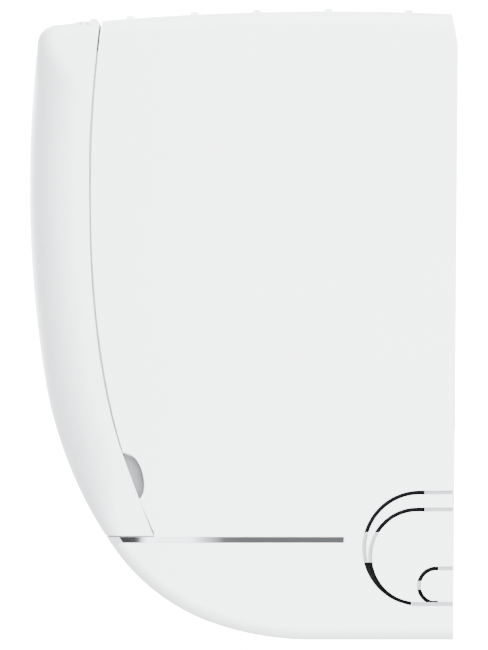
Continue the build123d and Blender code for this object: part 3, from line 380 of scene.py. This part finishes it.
def skinOutline(step=0.6):
    # the unit's outline from the chin round the front to the top
    y, z = -frontPanel["skinStart"][0], frontPanel["skinStart"][1]
    heading = 180.0
    points = [(-y, z)]
    for radius, turn in frontPanel["skinArcs"]:
        centreY = y + radius * math.sin(math.radians(heading))
        centreZ = z - radius * math.cos(math.radians(heading))
        count = max(int(radius * math.radians(turn) / step), 12)
        for index in range(1, count + 1):
            now = math.radians(heading - turn * index / count)
            points.append((-(centreY - radius * math.sin(now)), centreZ + radius * math.cos(now)))
        y, z = -points[-1][0], points[-1][1]
        heading -= turn
    return points


def spacedAlong(points, count):
    # evenly spaced points along a line
    lengths = [0.0]
    for before, after in zip(points[:-1], points[1:]):
        lengths.append(lengths[-1] + math.dist(before, after))
    found = []
    segment = 0
    for index in range(count):
        goal = lengths[-1] * index / (count - 1)
        while segment < len(points) - 2 and lengths[segment + 1] < goal:
            segment += 1
        share = (goal - lengths[segment]) / max(lengths[segment + 1] - lengths[segment], 1e-9)
        before, after = points[segment], points[segment + 1]
        found.append(tuple(a + (b - a) * share for a, b in zip(before, after)))
    return found


def curveThrough(points, count, steps=24):
    # a smooth curve through the points, then spaced evenly
    padded = [points[0], *points, points[-1]]
    dense = []
    for index in range(1, len(padded) - 2):
        corners = padded[index - 1 : index + 3]
        for step in range(steps):
            t = step / steps
            place = []
            for a, b, c, d in zip(*corners):
                bend = 2 * a - 5 * b + 4 * c - d
                twist = 3 * b - a - 3 * c + d
                place.append(0.5 * (2 * b + (c - a) * t + bend * t * t + twist * t**3))
            dense.append(tuple(place))
    dense.append(points[-1])
    return spacedAlong(dense, count)


def smoothStep(value, low, high):
    share = min(max((value - low) / (high - low), 0.0), 1.0)
    return share * share * (3 - 2 * share)


def edgeSoftness(up):
    # the radius of the panel's end edge at a height
    soft = smoothStep(up, *frontPanel["softenUps"]) * (1 - smoothStep(up, *frontPanel["hardenUps"]))
    return frontPanel["edgeRadius"] + (frontPanel["softRadius"] - frontPanel["edgeRadius"]) * soft


def endDrop(out):
    # how far the end has curved in, at a distance from the wall
    radius = frontPanel["sideCurve"]
    curve = max(out - frontPanel["curveStart"], 0.0)
    return radius - math.sqrt(radius**2 - curve**2)


def endStation(out, up, inset):
    # how far along the width the end stands at a place of the cross-section
    drop = endDrop(out)
    soft = edgeSoftness(up)
    if inset < soft:
        drop += soft - math.sqrt(max(soft**2 - (soft - inset) ** 2, 0.0))
    return halfWidth - drop / 1000


def insetFrom(point, outline, near, reach=60):
    # distance from the outline, searched round a known place on it
    low = max(near - reach, 0)
    return min(math.dist(point, place) for place in outline[low : near + reach + 1])


def makeFrontPanel():
    sizes = frontPanel
    outline = skinOutline()
    seamPoints = [(out + sizes["seamGap"], up) for out, up in sizes["seam"]]
    low = min(index for index, point in enumerate(outline) if point[1] >= sizes["lowUp"])
    rear = max(index for index, point in enumerate(outline) if point[0] >= seamPoints[-1][0])
    front = outline[low : rear + 1]
    corner = max(index for index, point in enumerate(front) if point[1] < sizes["skinCornerUp"])
    rows, topRows = sizes["rows"], sizes["topRows"]
    skinRows = spacedAlong(front[: corner + 1], rows - topRows)
    skinRows += spacedAlong(front[corner:], topRows + 1)[1:]
    seam = curveThrough(seamPoints, sizes["seamSteps"])
    shift = seam[0][1] - sizes["lowUp"]
    seam[0] = (seam[0][0] - shift * sizes["seamLean"], sizes["lowUp"])
    split = max(index for index, point in enumerate(seam) if point[1] < sizes["seamCornerUp"])
    seamRows = spacedAlong(seam[: split + 1], rows - topRows)
    seamRows += spacedAlong(seam[split:], topRows + 1)[1:]
    seamRows[-1] = skinRows[-1]
    turns = [math.pi / 2 * step / sizes["roundSteps"] for step in range(sizes["roundSteps"] + 1)]
    vertices = []
    columns = sizes["roundSteps"] + 1 + sizes["flatSteps"]
    for skin, edge in zip(skinRows, seamRows):
        width = max(math.dist(skin, edge), 1e-6)
        near = min(range(len(outline)), key=lambda index: math.dist(outline[index], skin))
        reach = min(edgeSoftness(skin[1]) * sizes["roundReach"], width * sizes["widthReach"])
        shares = [reach * (1 - math.cos(turn)) / width for turn in turns]
        last = shares[-1]
        for step in range(1, sizes["flatSteps"] + 1):
            shares.append(last + (1 - last) * step / sizes["flatSteps"])
        row = []
        for share in shares:
            out = skin[0] + (edge[0] - skin[0]) * share
            up = skin[1] + (edge[1] - skin[1]) * share
            inset = insetFrom((out, up), outline, near) if share > 0 else 0.0
            row.append((endStation(out, up, inset), *at(out, up)))
        vertices.extend([(-x, y, z) for x, y, z in reversed(row)])
        vertices.extend(row)
    faces = []
    stride = columns * 2
    for row in range(rows - 1):
        for column in range(stride - 1):
            first = row * stride + column
            faces.append((first, first + 1, first + stride + 1, first + stride))
    shape = (vertices, faces)
    panel = newPiece("panelShell", shape, "whitePanel", "panel", True, ("front_panel",))
    applyModifier(panel, "WELD", merge_threshold=sizes["weldGap"])
    # the wall thins towards the top, where the hinge needs the room
    wallShare = panel.vertex_groups.new(name="wall")
    for point in panel.data.vertices:
        up = point.co.z * 1000 + plateCentreUp
        thinned = sizes["thinning"] * smoothStep(up, *sizes["thinUps"])
        wallShare.add([point.index], 1 - thinned, "REPLACE")
    applyModifier(panel, "SOLIDIFY", thickness=sizes["wall"], offset=-1.0, use_rim=True, vertex_group="wall")
    cutLens(panel)
    smoothByAngle(panel, sizes["smoothAngle"])
    return panel


def cutLens(panel):
    # the window that the display lens fills
    left, right, lowUp, highUp = frontPanel["lensCut"]
    rear, front = frontPanel["lensCutOuts"]
    outline = [at(rear, lowUp), at(front, lowUp), at(front, highUp), at(rear, highUp)]
    vertices, faces = barAlongWidth(outline, left / 1000, right / 1000)
    mesh = bpy.data.meshes.new("lensCut")
    mesh.from_pydata(vertices, [], faces)
    cutter = bpy.data.objects.new("lensCut", mesh)
    bpy.context.scene.collection.objects.link(cutter)
    applyModifier(panel, "BOOLEAN", object=cutter, operation="DIFFERENCE", solver="EXACT")
    bpy.data.objects.remove(cutter)
    bpy.data.meshes.remove(mesh)


# the low rib along the panel's rear top edge and the sleeves that its hinge pins turn in
panelTrim = {
    "ribOut": 165.2,
    "ribWidth": 3.5,
    "ribHeight": 1.3,
    "ribSunk": 1.2,
    "ribEdge": 0.5,
    "ribEndGap": 4.0,
    "ribBevel": 0.0002,
    "hinge": (168.0, 277.8),
    "sleeveRadii": (0.00165, 0.0026),
    "sleeveInsets": (0.0116, 0.0046),
}


def makePanelTrim():
    sizes = panelTrim
    out = sizes["ribOut"]
    topSkin = [point for point in skinOutline() if point[1] > frontPanel["skinCornerUp"]]
    top = min(topSkin, key=lambda point: abs(point[0] - out))[1]
    half = sizes["ribWidth"] / 2
    high = top + sizes["ribHeight"]
    low = top - sizes["ribSunk"]
    edge = sizes["ribEdge"]
    rib = [
        at(out + half, low),
        at(out + half, high - edge),
        at(out + half - edge, high),
        at(out - half + edge, high),
        at(out - half, high - edge),
        at(out - half, low),
    ]
    reach = halfWidth - (frontPanel["edgeRadius"] + sizes["ribEndGap"]) / 1000
    ridge = newPiece("panelRib", barAlongWidth(rib, -reach, reach), "whitePanel", "panel")
    applyModifier(ridge, "BEVEL", width=sizes["ribBevel"], segments=2, limit_method="ANGLE")
    y, z = at(*sizes["hinge"])
    sleeves = []
    for side in (-1, 1):
        ends = sorted(side * (halfWidth - inset) for inset in sizes["sleeveInsets"])
        sleeves.append(ringAlongWidth(y, z, *sizes["sleeveRadii"], *ends))
    sleeve = newPiece("hingeSleeves", joined(sleeves), "whitePanel", "panel")
    smoothByAngle(sleeve)


panelShell = makeFrontPanel()
makePanelTrim()
print("front panel:", len(panelShell.data.vertices), "points, with its rib and hinge sleeves")

# bright strip: a thin foil-finished band that runs round the front and back along both ends
brightStrip = {
    "rearOut": 51.8,
    "lowUp": 44.05,
    "highUp": 46.65,
    "corner": 6.0,
    "wall": 0.0011,
    "rows": 5,
    "sideSteps": 70,
    "cornerSteps": 16,
    "frontSteps": 40,
    "smoothAngle": 35,
}


def skinOutAt(up, outline, middleUp=120):
    # how far the front skin stands out at a height below the panel's middle
    lower = [point for point in outline if point[1] < middleUp]
    for before, after in zip(lower[:-1], lower[1:]):
        if before[1] <= up < after[1]:
            share = (up - before[1]) / (after[1] - before[1])
            return before[0] + (after[0] - before[0]) * share
    return lower[-1][0]


def makeBrightStrip():
    sizes = brightStrip
    outline = skinOutline()
    rows = []
    for row in range(sizes["rows"]):
        up = sizes["lowUp"] + (sizes["highUp"] - sizes["lowUp"]) * row / (sizes["rows"] - 1)
        skinOut = skinOutAt(up, outline)
        places = []
        flatEnd = skinOut - sizes["corner"]
        for step in range(sizes["sideSteps"]):
            out = sizes["rearOut"] + (flatEnd - sizes["rearOut"]) * step / sizes["sideSteps"]
            places.append((endDrop(out), out))
        for step in range(sizes["cornerSteps"] + 1):
            turn = math.pi / 2 * step / sizes["cornerSteps"]
            out = flatEnd + sizes["corner"] * math.sin(turn)
            places.append((endDrop(out) + sizes["corner"] * (1 - math.cos(turn)), out))
        line = [(halfWidth - drop / 1000, *at(out, up)) for drop, out in places]
        last = line[-1]
        for step in range(1, sizes["frontSteps"] + 1):
            line.append((last[0] * (1 - step / sizes["frontSteps"]), last[1], last[2]))
        rows.append(line + [(-x, y, z) for x, y, z in reversed(line[:-1])])
    stride = len(rows[0])
    vertices = [place for line in rows for place in line]
    faces = []
    for row in range(sizes["rows"] - 1):
        for column in range(stride - 1):
            first = row * stride + column
            faces.append((first, first + stride, first + stride + 1, first + 1))
    shape = (vertices, faces)
    strip = newPiece("brightStrip", shape, "chromeTrim", "unit", True, ("trim_strip",))
    applyModifier(strip, "SOLIDIFY", thickness=sizes["wall"], offset=-1.0, use_rim=True)
    smoothByAngle(strip, sizes["smoothAngle"])


makeBrightStrip()
print("bright strip")

# dark grey walls at the back of the finger notches: painted shade for the deep recesses
notchShadeWall = {
    "depth": 0.00594,
    "thick": 0.0004,
    "places": (
        (152.0, 84.6),
        (146.7, 82.3),
        (143.9, 78.4),
        (142.9, 74.7),
        (142.3, 70.4),
        (142.9, 66.3),
        (144.6, 63.8),
        (151.0, 63.8),
        (157.0, 84.6),
    ),
}


def makeNotchShadeWalls():
    sizes = notchShadeWall
    walls = []
    for side in (-1, 1):
        base = side * (halfWidth - sizes["depth"])
        ends = sorted((base, base + side * sizes["thick"]))
        walls.append(barAlongWidth([at(*place) for place in sizes["places"]], *ends))
    newPiece("notchShadeWalls", joined(walls), "notchShadeGrey", "unit")


makeNotchShadeWalls()
print("notch walls")

# filter nets: threads woven both ways over the curved frames
filterNets = {
    "thread": 0.00028,
    "pitch": 0.0018,
    "lowUp": 108.0,
    "highUp": 248.0,
    "frameRadius": 813.0,
    "frameOut": 168.2,
    "frameUp": 186.6,
    "away": 0.65,
    "edge": 0.2,
    "bends": 18,
}


def netPoint(up, away):
    # a place on the filter's curve, moved out from it
    sizes = filterNets
    radius = sizes["frameRadius"] + away
    rise = up - sizes["frameUp"]
    out = sizes["frameOut"] - sizes["frameRadius"] + math.sqrt(radius**2 - rise**2)
    return at(out, up)


def makeFilterNet(side):
    sizes = filterNets
    node = f"filter_{side}_mesh"
    low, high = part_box(node)
    half = sizes["thread"] / 2
    threads = []
    rise = sizes["highUp"] - sizes["lowUp"]
    ups = [sizes["lowUp"] + rise * step / sizes["bends"] for step in range(sizes["bends"] + 1)]
    thick = half * 1000
    count = int((high.x - low.x - 2 * half) / sizes["pitch"])
    for index in range(count + 1):
        x = low.x + half + (high.x - low.x - 2 * half) * index / count
        vertices = []
        for up in ups:
            y0, z0 = netPoint(up, sizes["away"] - thick)
            y1, z1 = netPoint(up, sizes["away"] + thick)
            vertices.extend([(x - half, y0, z0), (x + half, y0, z0), (x + half, y1, z1), (x - half, y1, z1)])
        faces = [(3, 2, 1, 0), tuple(len(vertices) - 4 + corner for corner in range(4))]
        for step in range(sizes["bends"]):
            first = step * 4
            for corner in range(4):
                after = (corner + 1) % 4
                faces.append((first + corner, first + after, first + 4 + after, first + 4 + corner))
        threads.append((vertices, faces))
    rowCount = int(rise / 1000 / sizes["pitch"])
    for index in range(rowCount + 1):
        up = sizes["lowUp"] + sizes["edge"] + (rise - 2 * sizes["edge"]) * index / rowCount
        y0, z0 = netPoint(up - thick, sizes["away"] - thick)
        y1, z1 = netPoint(up + thick, sizes["away"] + thick)
        threads.append(barAlongWidth([(y0, z0), (y1, z0), (y1, z1), (y0, z1)], low.x, high.x))
    body = f"filter_{side}"
    newPiece(f"filterNet_{side}", joined(threads), "filterNet", body, False, (node,))


for side in ("left", "right"):
    makeFilterNet(side)
print("filter nets woven")

# thin foam sheets inside the ends, which close the slots of the pipe knock-outs; they are made near-black,
# darker than real foam, as painted shade in the slots
endFoamShade = {"gap": 0.0026, "thick": 0.0012, "outs": (7.0, 50.0), "ups": (8.0, 73.0), "corner": 4.0}


def makeEndFoamShade():
    sizes = endFoamShade
    out0, out1 = sizes["outs"]
    up0, up1 = sizes["ups"]
    cut = sizes["corner"]
    outline = [
        at(out0, up0),
        at(out1 - cut, up0),
        at(out1, up0 + cut),
        at(out1, up1 - cut),
        at(out1 - cut, up1),
        at(out0, up1),
    ]
    sheets = []
    for side in (-1, 1):
        insets = (sizes["gap"], sizes["gap"] + sizes["thick"])
        ends = sorted(side * (halfWidth - inset) for inset in insets)
        sheets.append(barAlongWidth(outline, *ends))
    newPiece("endFoamShade", joined(sheets), "foamBlackShade", "unit")


makeEndFoamShade()
print("foam behind the knock-outs")

# the thin grey floors of the knock-out grooves, where they aren't cut right through, painted shade that makes
# the grooves read grey; an arc is its centre, radius and two angles in degrees, and a run is its height and
# its front end
knockGrooveShade = {
    "deep": 0.00058,
    "thick": 0.0001,
    "half": 0.85,
    "arcSteps": 14,
    "arcs": (
        ((17.3, 41.5), 25.3, -14.0, 16.2),
        ((18.4, 37.65), 21.45, -6.3, 30.7),
        ((9.9, 24.5), 7.9, -11.0, 14.8),
    ),
    "runs": ((66.8, 15.0), (59.1, 15.0), (32.4, 8.9), (16.2, 21.0)),
    "rearOut": 2.4,
}


def makeKnockGrooveShade():
    sizes = knockGrooveShade
    half = sizes["half"]
    outlines = []
    steps = sizes["arcSteps"]
    for (out, up), radius, low, high in sizes["arcs"]:
        turns = [math.radians(low + (high - low) * step / steps) for step in range(steps + 1)]
        outer, inner = (
            [(out + reach * math.cos(turn), up + reach * math.sin(turn)) for turn in turns]
            for reach in (radius + half, radius - half)
        )
        outlines.append(outer + inner[::-1])
    for up, frontOut in sizes["runs"]:
        rear = sizes["rearOut"]
        outlines.append([(rear, up - half), (frontOut, up - half), (frontOut, up + half), (rear, up + half)])
    floors = []
    for side in (-1, 1):
        base = side * (halfWidth - sizes["deep"])
        ends = sorted((base, base + side * sizes["thick"]))
        for outline in outlines:
            floors.append(barAlongWidth([at(*place) for place in outline], *ends))
    newPiece("knockGrooveShade", joined(floors), "grooveShadeGrey", "unit")


makeKnockGrooveShade()
print("knock-out grooves")

# pale floor, well under the unit as it hangs
stageFloor = {
    "drop": 0.42,
    "radius": 6.0,
    "sides": 96,
    "colour": (0.50, 0.50, 0.50),
    "cloudScale": 3.0,
    "cloudShade": 0.98,
    "rough": 0.8,
}


def makeFloor():
    mesh = bpy.data.meshes.new("floor")
    count = stageFloor["sides"]
    level = cadLow.z - stageFloor["drop"]
    reach = stageFloor["radius"]
    ring = [2 * math.pi * step / count for step in range(count)]
    corners = [(reach * math.cos(turn), reach * math.sin(turn), level) for turn in ring]
    mesh.from_pydata(corners, [], [tuple(range(count))])
    floor = bpy.data.objects.new("floor", mesh)
    bpy.context.scene.collection.objects.link(floor)
    material, tree, shader, place = newMaterial("floorPaint")
    colour = stageFloor["colour"]
    cloud = noise(tree, place, stageFloor["cloudScale"])
    darker = shade(colour, stageFloor["cloudShade"])
    tree.links.new(tint(tree, cloud, darker, colour), shader.inputs["Base Color"])
    shader.inputs["Roughness"].default_value = stageFloor["rough"]
    mesh.materials.append(material)


makeFloor()

# studio dome: a faint cool white all round, a broad key behind the right-hand end, a fill at the left
# front and a bright backdrop. Narrow cards stand to the right and are seen only in reflections, mainly
# the bright strip's. A lobe is its direction, sharpness and strength. A card is its angle in degrees
# from straight right towards the front, and its brightness
studio = {
    "around": 0.3,
    "tint": (0.96, 0.982, 1.0),
    "backdrop": 26.0,
    "lobes": (
        ((0.62, 0.66, 0.42), 3.0, 22.0),
        ((-0.90, -0.34, 0.30), 8.0, 28.0),
    ),
    "cards": (
        (-7.0, 4.0),
        (-5.0, 0.27),
        (0.4, 0.28),
        (1.4, 0.36),
        (2.6, 2.2),
        (3.4, 5.4),
        (6.0, 5.8),
        (6.3, 0.12),
        (12.0, 0.10),
        (90.0, 0.14),
        (112.0, 0.5),
        (125.0, 6.0),
    ),
}


def makeDome():
    world = bpy.data.worlds.new("dome")
    world.use_nodes = True
    tree = world.node_tree
    link = tree.links.new
    place = tree.nodes.new("ShaderNodeTexCoord").outputs["Generated"]

    def feed(sockets, values):
        for socket, value in zip(sockets, values):
            if isinstance(value, float):
                socket.default_value = value
            else:
                link(value, socket)

    def calc(kind, *values):
        node = tree.nodes.new("ShaderNodeMath")
        node.operation = kind
        feed(node.inputs, values)
        return node.outputs["Value"]

    def choose(factor, first, second):
        node = tree.nodes.new("ShaderNodeMix")
        node.data_type = "FLOAT"
        link(factor, node.inputs[0])
        feed((node.inputs[2], node.inputs[3]), (first, second))
        return node.outputs[0]

    total = studio["around"]
    for towards, sharpness, strength in studio["lobes"]:
        along = tree.nodes.new("ShaderNodeVectorMath")
        along.operation = "DOT_PRODUCT"
        along.inputs[1].default_value = Vector(towards).normalized()
        link(place, along.inputs[0])
        lobe = calc("POWER", calc("MAXIMUM", along.outputs["Value"], 0.0), sharpness)
        total = calc("ADD", calc("MULTIPLY", lobe, strength), total)

    # the cards, as a ramp over the angle; everything outside them mirrors the dome
    axes = tree.nodes.new("ShaderNodeSeparateXYZ")
    link(place, axes.inputs["Vector"])
    angle = calc("ARCTAN2", calc("MULTIPLY", axes.outputs["Y"], -1.0), axes.outputs["X"])
    angle = calc("MULTIPLY", angle, 180 / math.pi)
    first, last = studio["cards"][0][0], studio["cards"][-1][0]
    span = last - first
    share = calc("DIVIDE", calc("SUBTRACT", angle, float(first)), float(span))
    brightest = max(level for degrees, level in studio["cards"])
    ramp = tree.nodes.new("ShaderNodeValToRGB")
    elements = ramp.color_ramp.elements
    elements.remove(elements[-1])
    for index, (degrees, level) in enumerate(studio["cards"]):
        position = (degrees - first) / span
        element = elements[0] if index == 0 else elements.new(position)
        element.position = position
        tone = level / brightest
        element.color = (tone, tone, tone, 1)
    link(share, ramp.inputs["Fac"])
    cards = calc("MULTIPLY", ramp.outputs["Color"], float(brightest))
    inside = calc("MULTIPLY", calc("GREATER_THAN", share, 0.0), calc("LESS_THAN", share, 1.0))
    mirrored = choose(inside, total, cards)
    rays = tree.nodes.new("ShaderNodeLightPath")
    level = choose(rays.outputs["Is Glossy Ray"], total, mirrored)
    level = choose(rays.outputs["Is Camera Ray"], level, studio["backdrop"])
    background = tree.nodes["Background"]
    background.inputs["Color"].default_value = (*studio["tint"], 1)
    link(level, background.inputs["Strength"])
    bpy.context.scene.world = world


makeDome()

# a long lens, level and square to the right-hand end
cameraPlace = {
    "lens": 1000.0,
    "sensor": 36.0,
    "tall": 0.2945,
    "across": -0.0970,
    "up": -0.0298,
    "far": 200.0,
}


def makeCamera():
    data = bpy.data.cameras.new("camera")
    camera = bpy.data.objects.new("camera", data)
    bpy.context.scene.collection.objects.link(camera)
    data.lens = cameraPlace["lens"]
    data.sensor_width = cameraPlace["sensor"]
    data.clip_end = cameraPlace["far"]
    away = cameraPlace["tall"] / 2 / (cameraPlace["sensor"] / 2 / cameraPlace["lens"])
    camera.location = (cadHigh.x + away, cameraPlace["across"], cameraPlace["up"])
    camera.rotation_euler = (math.radians(90), 0, math.radians(90))
    bpy.context.scene.camera = camera


makeCamera()
print("floor, light and camera ready")
